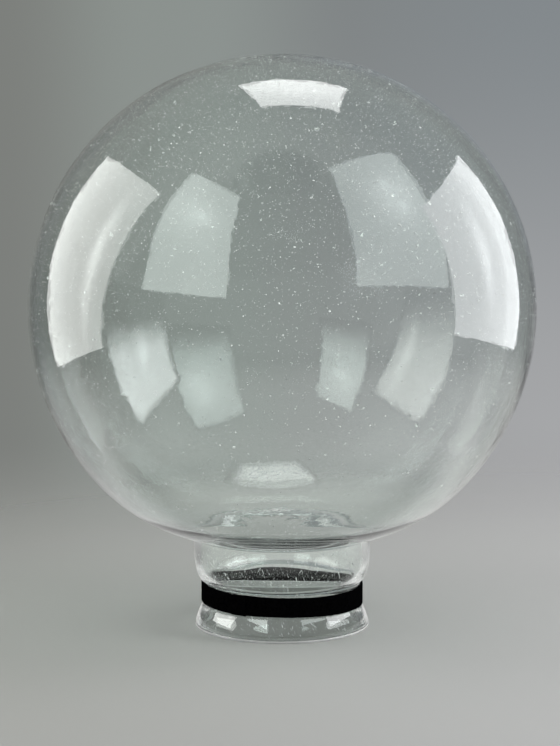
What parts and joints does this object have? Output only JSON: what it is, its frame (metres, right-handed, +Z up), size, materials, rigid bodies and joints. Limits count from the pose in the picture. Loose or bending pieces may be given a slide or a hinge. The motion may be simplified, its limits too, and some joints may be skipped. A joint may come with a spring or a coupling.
{
  "type": "seeded glass globe with neck",
  "caption": "Hollow clear blown-glass globe full of small bubbles, standing on a short grooved neck with a black felt strip round it.",
  "frame": {"origin": "centre of the rim's resting face, on the globe's axis", "axes": "+Z up along the globe's axis, -Y towards the viewer of the front view; the strip's lap is on the front left"},
  "size_m": [0.3, 0.2998, 0.34],
  "materials": {
    "seeded_glass": "clear blown glass with a faint grey-green tint, glossy, scattered seed bubbles",
    "black_felt": "matte black self-adhesive felt strip"
  },
  "bodies": {
    "root": {"glass_globe": "seeded_glass", "neck_band": "black_felt"}
  },
  "joints": []
}
